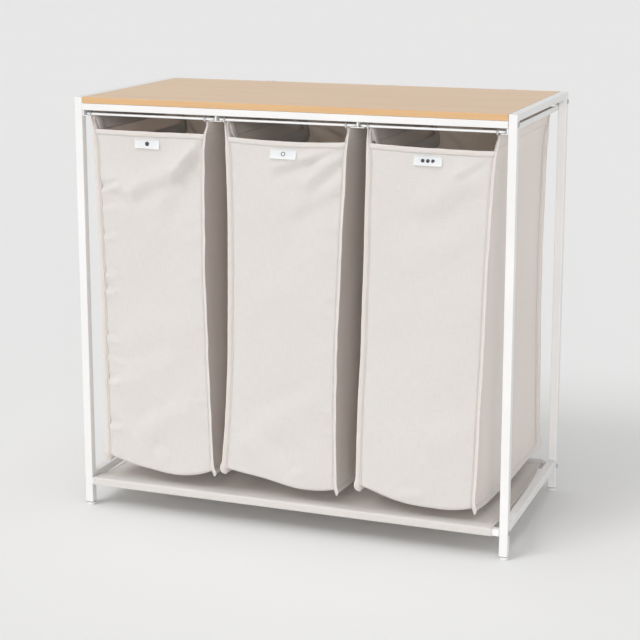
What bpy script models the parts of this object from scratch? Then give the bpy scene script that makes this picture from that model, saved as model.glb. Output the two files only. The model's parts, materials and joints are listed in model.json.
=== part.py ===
"""Three-bag laundry sorter: steel tube frame, wood top, sliding bag carriages and a sling shelf.

Units are metres and +Z is up.  The origin lies on the floor under the middle of the frame,
the front faces -Y and +X is to the right of someone who stands in front of it.
"""

import math

import bmesh
import bpy
from mathutils import Matrix, Vector

# ---------------------------------------------------------------- driving dimensions

WIDTH = 0.856           # over the faces of the end frames
DEPTH = 0.416
HEIGHT = 0.810          # floor to the top of the board

POST = 0.016            # square tube of the uprights and the lower side rails
RAIL = 0.013            # square tube of the cross rails, and height of the top side rails
WALL = 0.0012           # tube wall
TUBE_CORNER = 0.0015    # outer corner radius of the tubes
TUBE_CORNER_IN = 0.0004
GAP = 0.0003            # clearance left between touching pieces

BOARD_THICK = 0.012
BOARD_GAP = 0.0005      # joint between the board and each end frame
BOARD_EDGE = 0.0005     # eased edges of the board
LOW_RAIL_Z = 0.0497     # underside of the lower side rails
SLING_TUBE_Z = 0.0445   # underside of the two tubes that carry the sling shelf
POST_FOOT_Z = 0.0071    # lower open end of the uprights

RUNNER_WEB = 0.0025     # thickness of a runner's web
RUNNER_FLANGE = 0.025   # width of a middle runner's flange
RUNNER_SHEET = 0.0012   # thickness of the flange
RUNNER_DROP = 0.0093    # how far a runner hangs below the cross rails, over the flange
RUNNER_HALF_LENGTH = 0.2065

WIRE_R = 0.00225        # wire of the carriages
WIRE_CORNER = 0.009     # bend radius of a carriage corner
CARRIAGE_Y = 0.2035     # front and back wires of a carriage
CARRIAGE_PLAY = 0.0008  # side play between a carriage and its runner webs
ROD_R = 0.0015          # hanging rods in the bag hems
ROD_X = 0.118           # half the distance between a bag's two rods
ROD_CLEAR = 0.0006      # air between a rod's hook and the carriage wire in it
HOOK_SHOULDER = 0.66    # how far out the hook's shoulders are, as a share of its radius
HOOK_TIP = 0.0035       # how far a hook's tip reaches below the rod

BAG_HALF_WIDTH = 0.121
BAG_HALF_DEPTH = 0.1993
BAG_CLOTH = 0.002       # thickness given to the plain cloth panels
BAG_NECK_Z = 0.745      # upper edge of the front and back panels
BAG_FLOOR_Z = 0.088
BAG_OFFSETS = (-0.0035, -0.002, 0.0008)   # how far each bag hangs off its carriage's middle

STRAP_WIDTH = 0.024
STRAP_THICK = 0.002
STRAP_DROP = 0.078      # length of a handle below its hinge line
STRAP_HALF_SPAN = 0.186
STRAP_BEND = 0.030      # outer bend radius of a handle's two lower corners
STRAP_LEAN = math.radians(16.0)   # rest lean of a handle, away from its side panel
HINGE_IN = 0.0017       # a handle's hinge line, inward of its rod and below it
HINGE_DOWN = 0.0055

LABEL_SIZE = (0.053, 0.018, 0.001)
LABEL_SHIFT = -0.005    # labels are sewn a little left of the middle
LABEL_Z = 0.7265

BOLT_R = 0.003
BOLT_HEAD_R = 0.0047
BOLT_HEAD_H = 0.0016
BOLT_SOCKET_R = 0.002
BOLT_TIP = 0.001        # chamfer at a bolt's end
BOLT_LENGTH = 0.030

SCREW_R = 0.002
SCREW_HEAD_R = 0.0037
SCREW_HEAD_H = 0.002
SCREW_REACH = 0.0095    # how far a board screw goes into the board
SCREW_HEAD_CLEAR = 0.0005

FOOT_R = 0.009
FOOT_PAD_H = 0.0055
FOOT_EDGE = 0.001       # chamfers of a foot's pad
FOOT_STUD_TOP = 0.026
PLUG_FLANGE = 0.001
PLUG_INSET = 0.0004     # a plug's flange stands back from the tube's faces
PLUG_HEIGHT = 0.014

SLING_CLOTH = 0.0015
SLING_LEFT_BARE = 0.0035    # bare tube at the left end of the sling, and at its right end
SLING_RIGHT_BARE = 0.0135

CLIP_SIZE = 0.016
CLIP_SHEET = 0.0012
CLIP_LAP = 0.007
CLIP_DROP = 0.014

SIDES = 24              # facets of round pieces
SCREW_SIDES = 16
CORNER_STEPS = 3        # facets of a tube's rounded corner
SMOOTH_ANGLE = 40.0     # edges sharper than this, in degrees, stay crisp
WIRE_RESOLUTION = 3     # bevel resolution of the carriage wire
ROD_RESOLUTION = 2

# ---------------------------------------------------------------- derived positions

POST_X = WIDTH / 2 - POST / 2
POST_Y = DEPTH / 2 - POST / 2
INNER_X = WIDTH / 2 - POST                  # inner faces of the end frames
RAIL_Y = DEPTH / 2 - RAIL / 2
TOP_RAIL_TOP = HEIGHT - BOARD_THICK         # top of the front and back top rails
TOP_RAIL_BOTTOM = TOP_RAIL_TOP - RAIL
TOP_BOLT_Z = TOP_RAIL_TOP - RAIL / 2
LOW_BOLT_Z = SLING_TUBE_Z + RAIL / 2
FLANGE_TOP = TOP_RAIL_BOTTOM - RUNNER_DROP
WIRE_Z = FLANGE_TOP + GAP + WIRE_R
ROD_Z = WIRE_Z - 0.0007                     # hem level of the hanging rods
MIDDLE_WEB_X = INNER_X / 3

BAY_EDGES = (
    (-INNER_X + GAP + RUNNER_WEB, -MIDDLE_WEB_X - RUNNER_WEB / 2),
    (-MIDDLE_WEB_X + RUNNER_WEB / 2, MIDDLE_WEB_X - RUNNER_WEB / 2),
    (MIDDLE_WEB_X + RUNNER_WEB / 2, INNER_X - GAP - RUNNER_WEB),
)
BAG_NAMES = ("left", "middle", "right")
SIDE_ENDS = (("left", -1), ("right", 1))
FRONT_BACK = (("front", -1), ("back", 1))
BOARD_SCREWS = (("left_board_screw", -2 * MIDDLE_WEB_X), ("right_board_screw", 2 * MIDDLE_WEB_X))
BOARD_CLIPS = (("left_board_clip", -0.196), ("middle_board_clip", 0.067),
               ("right_board_clip", 0.313))


# ---------------------------------------------------------------- scene and materials

def clear_scene():
    for item in list(bpy.data.objects):
        bpy.data.objects.remove(item, do_unlink=True)


def make_material(name, color, roughness, metallic=0.0):
    material = bpy.data.materials.new(name)
    material.use_nodes = True
    shader = material.node_tree.nodes["Principled BSDF"]
    shader.inputs["Base Color"].default_value = (*color, 1.0)
    shader.inputs["Roughness"].default_value = roughness
    shader.inputs["Metallic"].default_value = metallic
    return material


def link(name, data, material=None, parent=None, location=(0, 0, 0)):
    """Adds an object; location is relative to the parent's own place."""
    item = bpy.data.objects.new(name, data)
    bpy.context.scene.collection.objects.link(item)
    item.location = location
    if parent is not None:
        item.parent = parent
    if material is not None:
        item.data.materials.append(material)
    return item


def add_empty(name, location):
    item = link(name, None, location=location)
    item.empty_display_size = 0.03
    return item


# ---------------------------------------------------------------- mesh tools

def finish_mesh(name, bm, smooth_angle=None):
    bmesh.ops.recalc_face_normals(bm, faces=bm.faces)
    mesh = bpy.data.meshes.new(name)
    bm.to_mesh(mesh)
    bm.free()
    if smooth_angle is not None:
        mesh.shade_smooth()
        mesh.set_sharp_from_angle(angle=math.radians(smooth_angle))
    return mesh


def add_box(bm, low, high):
    size = [b - a for a, b in zip(low, high)]
    middle = [(a + b) / 2 for a, b in zip(low, high)]
    matrix = Matrix.Translation(middle) @ Matrix.Diagonal((*size, 1.0))
    bmesh.ops.create_cube(bm, size=1.0, matrix=matrix)


def box_mesh(name, low, high):
    bm = bmesh.new()
    add_box(bm, low, high)
    return finish_mesh(name, bm)


def rounded_rectangle(half_x, half_y, radius, steps=5):
    points = []
    for quarter, (sx, sy) in enumerate(((1, 1), (-1, 1), (-1, -1), (1, -1))):
        for k in range(steps + 1):
            angle = math.pi / 2 * (quarter + k / steps)
            points.append((sx * (half_x - radius) + radius * math.cos(angle),
                           sy * (half_y - radius) + radius * math.sin(angle)))
    return points


def tube_mesh(name, axis, width, height, low_end, high_end, wall=WALL):
    """Rectangular tube along X, Y or Z, open at both ends.

    low_end and high_end give the end's place along the axis for a point (a, b) of the section,
    so that an end can be square or mitred.  a and b are the other two axes, in XYZ order.
    """
    bm = bmesh.new()
    index = "XYZ".index(axis)
    outer_section = rounded_rectangle(width / 2, height / 2, TUBE_CORNER, CORNER_STEPS)
    inner_section = rounded_rectangle(width / 2 - wall, height / 2 - wall, TUBE_CORNER_IN,
                                      CORNER_STEPS)

    def ring(section, end):
        corners = []
        for a, b in section:
            point = [a, b]
            point.insert(index, end(a, b))
            corners.append(bm.verts.new(point))
        return corners

    outer = [ring(outer_section, end) for end in (low_end, high_end)]
    inner = [ring(inner_section, end) for end in (low_end, high_end)]
    for k in range(len(outer_section)):
        n = (k + 1) % len(outer_section)
        bm.faces.new((outer[0][k], outer[0][n], outer[1][n], outer[1][k]))
        bm.faces.new((inner[0][k], inner[1][k], inner[1][n], inner[0][n]))
        bm.faces.new((outer[0][k], inner[0][k], inner[0][n], outer[0][n]))
        bm.faces.new((outer[1][k], outer[1][n], inner[1][n], inner[1][k]))
    return finish_mesh(name, bm, SMOOTH_ANGLE)


def square_end(place):
    return lambda a, b: place


def prism_mesh(name, outline, axis, start, end, smooth_angle=None):
    """Extrudes a closed outline of (a, b) points along an axis, from start to end."""
    bm = bmesh.new()
    index = "XYZ".index(axis)

    def ring(place):
        points = []
        for a, b in outline:
            point = [a, b]
            point.insert(index, place)
            points.append(bm.verts.new(point))
        return points

    first = ring(start)
    last = ring(end)
    bm.faces.new(first)
    bm.faces.new(list(reversed(last)))
    for k in range(len(outline)):
        n = (k + 1) % len(outline)
        bm.faces.new((first[k], last[k], last[n], first[n]))
    return finish_mesh(name, bm, smooth_angle)


def add_lathe(bm, profile, matrix, sides=SIDES):
    """Turns a profile of (radius, height) points about Z; both its ends lie on the axis."""
    rings = []
    for radius, height in profile:
        if radius == 0.0:
            rings.append([bm.verts.new(matrix @ Vector((0, 0, height)))])
            continue
        ring = []
        for k in range(sides):
            angle = 2 * math.pi * k / sides
            point = Vector((radius * math.cos(angle), radius * math.sin(angle), height))
            ring.append(bm.verts.new(matrix @ point))
        rings.append(ring)
    for below, above in zip(rings, rings[1:]):
        for k in range(sides):
            n = (k + 1) % sides
            if len(below) == 1:
                bm.faces.new((below[0], above[n], above[k]))
            elif len(above) == 1:
                bm.faces.new((below[k], below[n], above[0]))
            else:
                bm.faces.new((below[k], below[n], above[n], above[k]))


def add_bored_block(bm, levels, bore, matrix, sides=SIDES):
    """Square block about Z with a round bore; levels are (half width, height) pairs going up."""

    def square_point(half, k):
        angle = 2 * math.pi * k / sides
        reach = half / max(abs(math.cos(angle)), abs(math.sin(angle)))
        return reach * math.cos(angle), reach * math.sin(angle)

    rings = []
    for half, height in levels:
        ring = []
        for k in range(sides):
            x, y = square_point(half, k)
            ring.append(bm.verts.new(matrix @ Vector((x, y, height))))
        rings.append(ring)
    for height in (levels[-1][1], levels[0][1]):
        ring = []
        for k in range(sides):
            angle = 2 * math.pi * k / sides
            point = Vector((bore * math.cos(angle), bore * math.sin(angle), height))
            ring.append(bm.verts.new(matrix @ point))
        rings.append(ring)
    for this, following in zip(rings, rings[1:] + rings[:1]):
        for k in range(sides):
            n = (k + 1) % sides
            bm.faces.new((this[k], this[n], following[n], following[k]))


def bore_cutter(name, axis, radius, length, place, sides=SIDES):
    """A cylinder that only cuts; it is a guide and not a piece of the object."""
    turn = {"X": Matrix.Rotation(math.pi / 2, 4, "Y"), "Y": Matrix.Rotation(math.pi / 2, 4, "X"),
            "Z": Matrix.Identity(4)}[axis]
    bm = bmesh.new()
    bmesh.ops.create_cone(bm, cap_ends=True, segments=sides, radius1=radius, radius2=radius,
                          depth=length, matrix=turn)
    return as_cutter(name, finish_mesh(name, bm), place)


def as_cutter(name, mesh, place=(0, 0, 0)):
    cutter = link(name, mesh, location=place)
    cutter.hide_render = True
    cutter.display_type = "WIRE"
    return cutter


def cut(item, cutters):
    for cutter in cutters:
        modifier = item.modifiers.new(cutter.name, "BOOLEAN")
        modifier.operation = "DIFFERENCE"
        modifier.solver = "EXACT"
        modifier.object = cutter


def wire_object(name, path, radius, resolution, material, parent=None, closed=False):
    """Round wire along a list of points."""
    curve = bpy.data.curves.new(name, "CURVE")
    curve.dimensions = "3D"
    curve.bevel_depth = radius
    curve.bevel_resolution = resolution
    curve.use_fill_caps = not closed
    spline = curve.splines.new("POLY")
    spline.points.add(len(path) - 1)
    for point, place in zip(spline.points, path):
        point.co = (*place, 1.0)
    spline.use_cyclic_u = closed
    spline.use_smooth = True
    return link(name, curve, material, parent)


# ---------------------------------------------------------------- end frames

def build_end_frame(side_name, side, white):
    """side is -1 for the left end frame and +1 for the right one."""
    mitre = RAIL / POST

    for end_name, end in FRONT_BACK:
        def post_top(a, b, end=end):
            return HEIGHT - GAP / 2 - mitre * (POST / 2 - end * b)

        mesh = tube_mesh("post", "Z", POST, POST, square_end(POST_FOOT_Z), post_top)
        name = f"{side_name}_{end_name}_upright"
        post = link(name, mesh, white, location=(side * POST_X, end * POST_Y, 0))
        holes = []
        for level, z in (("top", TOP_BOLT_Z), ("low", LOW_BOLT_Z)):
            place = (side * POST_X, end * RAIL_Y, z)
            holes.append(bore_cutter(f"cut_{name}_{level}", "X", BOLT_R + GAP, POST * 2, place))
        cut(post, holes)

    middle_z = HEIGHT - RAIL / 2

    def rail_end(sign):
        return lambda a, b: sign * (DEPTH / 2 - GAP - (RAIL / 2 - b) / mitre)

    mesh = tube_mesh("top_side_rail", "Y", POST, RAIL, rail_end(-1), rail_end(1))
    link(f"{side_name}_top_rail", mesh, white, location=(side * POST_X, 0, middle_z))

    reach = DEPTH / 2 - POST - GAP
    mesh = tube_mesh("low_side_rail", "Y", POST, POST, square_end(-reach), square_end(reach))
    place = (side * POST_X, 0, LOW_RAIL_Z + POST / 2)
    link(f"{side_name}_bottom_rail", mesh, white, location=place)


def screw_holes():
    """Wide holes let the board screws' heads in from below, narrow ones pass their shanks."""
    holes = []
    for name, x in BOARD_SCREWS:
        low = (x, -RAIL_Y, TOP_RAIL_BOTTOM)
        high = (x, -RAIL_Y, TOP_RAIL_TOP)
        holes.append(bore_cutter(f"cut_{name}_head", "Z", SCREW_HEAD_R + SCREW_HEAD_CLEAR, RAIL,
                                 low))
        holes.append(bore_cutter(f"cut_{name}_shank", "Z", SCREW_R + GAP, RAIL / 2, high))
    return holes


def build_cross_tubes(white):
    """Front and back top rails, which carry the board, and the two tubes of the sling shelf."""
    reach = INNER_X - GAP
    for end_name, end in FRONT_BACK:
        mesh = tube_mesh("cross_tube", "X", RAIL, RAIL, square_end(-reach), square_end(reach))
        rail = link(f"{end_name}_top_rail", mesh, white, location=(0, end * RAIL_Y, TOP_BOLT_Z))
        if end_name == "front":
            cut(rail, screw_holes())

        mesh = tube_mesh("sling_tube", "X", RAIL, RAIL, square_end(-reach), square_end(reach))
        link(f"bottom_{end_name}_tube", mesh, white, location=(0, end * RAIL_Y, LOW_BOLT_Z))


# ---------------------------------------------------------------- board and its fixings

def build_board(wood, steel, clip_white):
    side = INNER_X - BOARD_GAP
    bm = bmesh.new()
    add_box(bm, (-side, -DEPTH / 2, TOP_RAIL_TOP + GAP), (side, DEPTH / 2, HEIGHT))
    bmesh.ops.bevel(bm, geom=bm.edges[:], offset=BOARD_EDGE, segments=2, affect="EDGES",
                    profile=0.5)
    board = link("wood_top", finish_mesh("wood_top", bm), wood)

    seat = TOP_RAIL_TOP - WALL - GAP        # the head pulls up against the rail's upper wall
    profile = ((0, seat - SCREW_HEAD_H), (SCREW_HEAD_R * 0.8, seat - SCREW_HEAD_H),
               (SCREW_HEAD_R, seat - SCREW_HEAD_H * 0.6), (SCREW_HEAD_R, seat),
               (SCREW_R, seat), (SCREW_R, TOP_RAIL_TOP + SCREW_REACH * 0.8),
               (0, TOP_RAIL_TOP + SCREW_REACH))
    pilots = []
    for name, x in BOARD_SCREWS:
        pilots.append(bore_cutter(f"cut_{name}_pilot", "Z", SCREW_R + GAP,
                                  2 * SCREW_REACH + 4 * GAP, (x, -RAIL_Y, TOP_RAIL_TOP)))
        bm = bmesh.new()
        add_lathe(bm, profile, Matrix.Identity(4), SCREW_SIDES)
        link(name, finish_mesh(name, bm, SMOOTH_ANGLE), steel, location=(x, -RAIL_Y, 0))
    cut(board, pilots)

    # three small clips hook over the board's back edge
    back = DEPTH / 2 + GAP
    top = HEIGHT + GAP
    outline = ((back, HEIGHT - CLIP_DROP), (back + CLIP_SHEET, HEIGHT - CLIP_DROP),
               (back + CLIP_SHEET, top + CLIP_SHEET), (back - CLIP_LAP, top + CLIP_SHEET),
               (back - CLIP_LAP, top), (back, top))
    for name, x in BOARD_CLIPS:
        mesh = prism_mesh(name, outline, "X", -CLIP_SIZE / 2, CLIP_SIZE / 2)
        link(name, mesh, clip_white, location=(x, 0, 0))


# ---------------------------------------------------------------- bolts and feet

def build_bolts(steel):
    """Eight bolts go through the uprights into the ends of the cross tubes."""
    socket_floor = BOLT_HEAD_H * 0.35
    profile = ((0, socket_floor), (BOLT_SOCKET_R, socket_floor), (BOLT_SOCKET_R, BOLT_HEAD_H),
               (BOLT_HEAD_R * 0.72, BOLT_HEAD_H), (BOLT_HEAD_R, BOLT_HEAD_H * 0.45),
               (BOLT_HEAD_R, 0), (BOLT_R, 0), (BOLT_R, -BOLT_LENGTH + BOLT_TIP),
               (BOLT_R - BOLT_TIP, -BOLT_LENGTH), (0, -BOLT_LENGTH))
    for side_name, side in SIDE_ENDS:
        outward = Matrix.Rotation(side * math.pi / 2, 4, "Y")
        for end_name, end in FRONT_BACK:
            for level, z in (("top", TOP_BOLT_Z), ("bottom", LOW_BOLT_Z)):
                bm = bmesh.new()
                add_lathe(bm, profile, outward)
                name = f"{side_name}_{end_name}_{level}_bolt"
                place = (side * (WIDTH / 2 + GAP), end * RAIL_Y, z)
                link(name, finish_mesh(name, bm, SMOOTH_ANGLE), steel, location=place)


def build_feet(plastic, plug_grey):
    """A plug closes each upright, and a levelling foot screws into it."""
    flange_low = FOOT_PAD_H + GAP
    flange_top = flange_low + PLUG_FLANGE
    flange_half = POST / 2 - PLUG_INSET
    body_half = POST / 2 - WALL - GAP
    levels = ((flange_half, flange_low), (flange_half, flange_top),
              (body_half, flange_top), (body_half, flange_top + PLUG_HEIGHT))
    profile = ((0, 0), (FOOT_R - FOOT_EDGE, 0), (FOOT_R, FOOT_EDGE),
               (FOOT_R, FOOT_PAD_H - FOOT_EDGE), (FOOT_R - FOOT_EDGE, FOOT_PAD_H),
               (BOLT_R, FOOT_PAD_H), (BOLT_R, FOOT_STUD_TOP), (0, FOOT_STUD_TOP))
    for side_name, side in SIDE_ENDS:
        for end_name, end in FRONT_BACK:
            place = (side * POST_X, end * POST_Y, 0)
            plug = bmesh.new()
            add_bored_block(plug, levels, BOLT_R + GAP, Matrix.Identity(4))
            name = f"{side_name}_{end_name}_plug"
            link(name, finish_mesh(name, plug, SMOOTH_ANGLE), plug_grey, location=place)
            foot = bmesh.new()
            add_lathe(foot, profile, Matrix.Identity(4))
            name = f"{side_name}_{end_name}_foot"
            link(name, finish_mesh(name, foot, SMOOTH_ANGLE), plastic, location=place)


# ---------------------------------------------------------------- runners and carriages

def build_runners(white):
    """Inverted T runners between the bays, and an L runner inside each end frame."""
    top = TOP_RAIL_BOTTOM - GAP
    low = FLANGE_TOP - RUNNER_SHEET
    web = RUNNER_WEB / 2
    wing = RUNNER_FLANGE / 2
    tee = ((-wing, low), (wing, low), (wing, FLANGE_TOP), (web, FLANGE_TOP), (web, top),
           (-web, top), (-web, FLANGE_TOP), (-wing, FLANGE_TOP))
    for name, side in (("middle_left_runner", -1), ("middle_right_runner", 1)):
        mesh = prism_mesh(name, tee, "Y", -RUNNER_HALF_LENGTH, RUNNER_HALF_LENGTH)
        link(name, mesh, white, location=(side * MIDDLE_WEB_X, 0, 0))
    for name, side in (("left_runner", -1), ("right_runner", 1)):
        outer = side * (INNER_X - GAP)
        inner = outer - side * RUNNER_WEB
        lip = outer - side * wing
        ell = ((outer, low), (outer, top), (inner, top), (inner, FLANGE_TOP), (lip, FLANGE_TOP),
               (lip, low))
        link(name, prism_mesh(name, ell, "Y", -RUNNER_HALF_LENGTH, RUNNER_HALF_LENGTH), white)


def rod_path(x):
    """A hanging rod: straight through the hem, up and over each carriage wire, then down."""
    over = WIRE_R + ROD_R + ROD_CLEAR
    rise = WIRE_Z - ROD_Z
    shoulder = over * HOOK_SHOULDER
    shoulder_z = rise + math.sqrt(over ** 2 - shoulder ** 2)
    half = [
        (CARRIAGE_Y - over, 0.0),
        (CARRIAGE_Y - over, rise),
        (CARRIAGE_Y - shoulder, shoulder_z),
        (CARRIAGE_Y, rise + over),
        (CARRIAGE_Y + shoulder, shoulder_z),
        (CARRIAGE_Y + over, rise),
        (CARRIAGE_Y + over, -HOOK_TIP),
    ]
    front = [(x, -y, ROD_Z + z) for y, z in reversed(half)]
    back = [(x, y, ROD_Z + z) for y, z in half]
    return front + back


# ---------------------------------------------------------------- bags

def bag_section_mesh(name):
    """Both side walls and the floor in one section, with a round tunnel along each upper edge.

    x is measured from the middle of the bag and z from the rods.
    """
    ring = BAG_HALF_WIDTH - ROD_X
    face = ring - BAG_CLOTH
    steps = 14
    foot_angle = 2 * math.pi - math.acos(face / ring)
    floor = BAG_FLOOR_Z - ROD_Z
    right = [(BAG_HALF_WIDTH, floor)]
    for k in range(steps + 1):
        angle = foot_angle * k / steps
        right.append((ROD_X + ring * math.cos(angle), ring * math.sin(angle)))
    right.append((BAG_HALF_WIDTH - BAG_CLOTH, floor + BAG_CLOTH))
    left = [(-x, z) for x, z in reversed(right)]
    reach = BAG_HALF_DEPTH - BAG_CLOTH - GAP
    return prism_mesh(name, right + left, "Y", -reach, reach)


def join(item, helpers):
    for helper in helpers:
        modifier = item.modifiers.new(helper.name, "BOOLEAN")
        modifier.operation = "UNION"
        modifier.solver = "EXACT"
        modifier.object = helper


def build_cloth_bag(name, bag_x, canvas):
    """One sewn bag: two side walls and floor, closed by the front and back panels."""
    bag = link(f"{name}_bag", bag_section_mesh(f"{name}_bag"), canvas)
    panels = []
    for end_name, end in FRONT_BACK:
        ys = sorted((end * BAG_HALF_DEPTH, end * (BAG_HALF_DEPTH - BAG_CLOTH - 2 * GAP)))
        low = (bag_x - BAG_HALF_WIDTH, ys[0], BAG_FLOOR_Z)
        high = (bag_x + BAG_HALF_WIDTH, ys[1], BAG_NECK_Z)
        helper = f"join_{name}_{end_name}"
        panels.append(as_cutter(helper, box_mesh(helper, low, high)))
    join(bag, panels)
    bores = []
    for side_name, side in SIDE_ENDS:
        place = (bag_x + side * ROD_X, 0, ROD_Z)
        bores.append(bore_cutter(f"cut_{name}_{side_name}", "Y", ROD_R + GAP, DEPTH, place,
                                 sides=12))
    cut(bag, bores)
    return bag


def strap_mesh(name, side):
    """U-shaped handle, hung from a hinge line along Y through its own origin."""
    span = STRAP_HALF_SPAN
    drop = STRAP_DROP
    width = STRAP_WIDTH
    bend = STRAP_BEND

    def half_outline(span_out, bottom, radius):
        points = [(span_out, 0.0)]
        for k in range(5):
            angle = math.pi / 2 * k / 4
            points.append((span_out - radius + radius * math.cos(angle),
                           -bottom + radius - radius * math.sin(angle)))
        return points

    outer = half_outline(span, drop, bend)
    inner = half_outline(span - width, drop - width, bend - width)
    right = outer
    left = [(-y, z) for y, z in reversed(outer)]
    inside = [(-y, z) for y, z in inner] + [(y, z) for y, z in reversed(inner)]
    outline = right + left + inside
    mesh = prism_mesh(name, outline, "X", -STRAP_THICK / 2, STRAP_THICK / 2)
    mesh.transform(Matrix.Rotation(side * STRAP_LEAN, 4, "Y"))
    return mesh


def build_bag(number, canvas, wire_white, steel, webbing, tag):
    low_x, high_x = BAY_EDGES[number]
    bay_x = (low_x + high_x) / 2
    bag_x = bay_x + BAG_OFFSETS[number]
    name = BAG_NAMES[number]
    slide = add_empty(f"{name}_slide", (bay_x, -CARRIAGE_Y, WIRE_Z))

    def place(item):
        """Keeps an object modelled in world coordinates where it is, under the slide empty."""
        item.location = -slide.location
        return item

    half_x = (high_x - low_x) / 2 - CARRIAGE_PLAY - WIRE_R
    corners = rounded_rectangle(half_x, CARRIAGE_Y, WIRE_CORNER)
    loop = [(bay_x + x, y, WIRE_Z) for x, y in corners]
    place(wire_object(f"{name}_carriage", loop, WIRE_R, WIRE_RESOLUTION, wire_white, slide,
                      closed=True))
    bag = build_cloth_bag(name, bag_x, canvas)
    bag.parent = slide
    bag.location = Vector((bag_x, 0, ROD_Z)) - slide.location

    for side_name, side in SIDE_ENDS:
        path = rod_path(bag_x + side * ROD_X)
        node = f"{name}_bag_{side_name}_rod"
        place(wire_object(node, path, ROD_R, ROD_RESOLUTION, steel, slide))
        hinge = Vector((bag_x + side * (ROD_X - HINGE_IN), 0, ROD_Z - HINGE_DOWN))
        node = f"{name}_bag_{side_name}_handle"
        link(node, strap_mesh(node, side), webbing, slide, hinge - slide.location)

    label_x = bag_x + LABEL_SHIFT
    width, height, thick = LABEL_SIZE
    face = -BAG_HALF_DEPTH - GAP
    node = f"{name}_label"
    mesh = box_mesh(node, (label_x - width / 2, face - thick, LABEL_Z - height / 2),
                    (label_x + width / 2, face, LABEL_Z + height / 2))
    place(link(node, mesh, tag, slide))


# ---------------------------------------------------------------- sling shelf

def build_sling(canvas):
    """One sheet sewn into a sleeve round each of the two low tubes."""
    half = RAIL / 2 + GAP
    outer = half + SLING_CLOTH
    top = LOW_BOLT_Z + outer
    sheet_low = top - SLING_CLOTH
    out_y = RAIL_Y + outer
    in_y = RAIL_Y - outer
    foot = LOW_BOLT_Z - outer
    outline = ((-out_y, foot), (-in_y, foot), (-in_y, sheet_low), (in_y, sheet_low),
               (in_y, foot), (out_y, foot), (out_y, top), (-out_y, top))
    left = -INNER_X + SLING_LEFT_BARE
    right = INNER_X - SLING_RIGHT_BARE
    sling = link("sling_shelf", prism_mesh("sling_shelf", outline, "X", left, right), canvas)
    cutters = []
    for end_name, end in FRONT_BACK:
        low = (-WIDTH / 2, end * RAIL_Y - half, LOW_BOLT_Z - half)
        high = (WIDTH / 2, end * RAIL_Y + half, LOW_BOLT_Z + half)
        name = f"cut_sleeve_{end_name}"
        cutters.append(as_cutter(name, box_mesh(name, low, high)))
    cut(sling, cutters)


# ---------------------------------------------------------------- build

def main():
    clear_scene()
    white = make_material("white_powder_coat", (0.86, 0.86, 0.84), 0.42)
    wire_white = make_material("white_wire_coat", (0.88, 0.88, 0.87), 0.38)
    wood = make_material("light_oak_laminate", (0.68, 0.50, 0.34), 0.5)
    canvas = make_material("natural_canvas", (0.72, 0.68, 0.63), 0.9)
    webbing = make_material("cotton_webbing", (0.74, 0.71, 0.67), 0.85)
    tag = make_material("white_tag", (0.88, 0.88, 0.89), 0.6)
    plastic = make_material("white_plastic", (0.80, 0.80, 0.79), 0.45)
    plug_grey = make_material("grey_plastic", (0.32, 0.32, 0.32), 0.55)
    steel = make_material("zinc_plated_steel", (0.55, 0.55, 0.56), 0.35, 1.0)

    for side_name, side in SIDE_ENDS:
        build_end_frame(side_name, side, white)
    build_cross_tubes(white)
    build_board(wood, steel, plastic)
    build_bolts(steel)
    build_feet(plastic, plug_grey)
    build_runners(white)
    for number in range(3):
        build_bag(number, canvas, wire_white, steel, webbing, tag)
    build_sling(canvas)


main()
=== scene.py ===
"""Looks of the three-bag laundry sorter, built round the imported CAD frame.

Each canvas bag is modelled in nominal coordinates, as a straight box hanging from its two rods,
and every piece of it then goes through one function, hang(), that swings, sags and bows it.
"""
import json
import math

import bmesh
import bpy
import numpy as np
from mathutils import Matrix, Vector, noise


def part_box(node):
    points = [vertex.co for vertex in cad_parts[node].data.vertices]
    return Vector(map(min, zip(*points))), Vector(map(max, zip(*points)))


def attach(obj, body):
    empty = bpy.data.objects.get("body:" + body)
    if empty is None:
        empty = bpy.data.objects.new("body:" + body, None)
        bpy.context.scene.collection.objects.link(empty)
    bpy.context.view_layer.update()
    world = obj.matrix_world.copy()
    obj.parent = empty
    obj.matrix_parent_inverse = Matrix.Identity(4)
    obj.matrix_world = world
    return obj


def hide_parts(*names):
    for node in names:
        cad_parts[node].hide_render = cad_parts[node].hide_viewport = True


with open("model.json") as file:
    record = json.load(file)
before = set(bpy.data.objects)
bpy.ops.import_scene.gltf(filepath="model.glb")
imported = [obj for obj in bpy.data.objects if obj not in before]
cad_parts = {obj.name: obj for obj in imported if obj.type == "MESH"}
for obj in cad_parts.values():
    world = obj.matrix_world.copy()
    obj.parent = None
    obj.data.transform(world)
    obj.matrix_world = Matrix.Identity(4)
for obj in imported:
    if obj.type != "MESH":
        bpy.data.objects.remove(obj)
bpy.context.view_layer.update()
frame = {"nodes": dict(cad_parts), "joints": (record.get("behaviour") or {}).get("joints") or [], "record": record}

# ---- places read from the frame

BAG_NAMES = ("left", "middle", "right")
SIDES = (("left", -1), ("right", 1))
ENDS = (("front", -1), ("back", 1))
TUNNEL_R = 0.0025           # middle of the cloth round a hanging rod
CLOTH = 0.0010              # thickness of the canvas
SEAM_INSET = 0.0093         # the seams stand in from the bag's outline by about the flange
NECK_DROP = 0.0300          # the front and back panels end this far below the rods
HEM_DEPTH = 0.0325          # double hem inside each side panel
HEM_GAP = 0.0019            # the hem's inner layer hangs this far inside the panel
FLANGE = 0.0100             # width of the raised seams
FLANGE_THICK = 0.0024
SEAM_Z = 0.1060             # nominal level of the floor seams
FLOOR_ROUND = 0.0070        # radius between the front panel and the floor
CORNER_POINT = 0.0045       # extra reach of the seam at its two lower corners
SIDE_SAG = 0.0120           # sag of a side panel's lower edge between front and back
BACK_BOW = 0.0140           # how far the back edges bow in at mid height
FOLD_GAIN = 1.35            # height of all folds over the depths written with them
BAND_WIDTH = 0.024          # webbing of the handles
BAND_THICK = 0.0018
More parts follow.
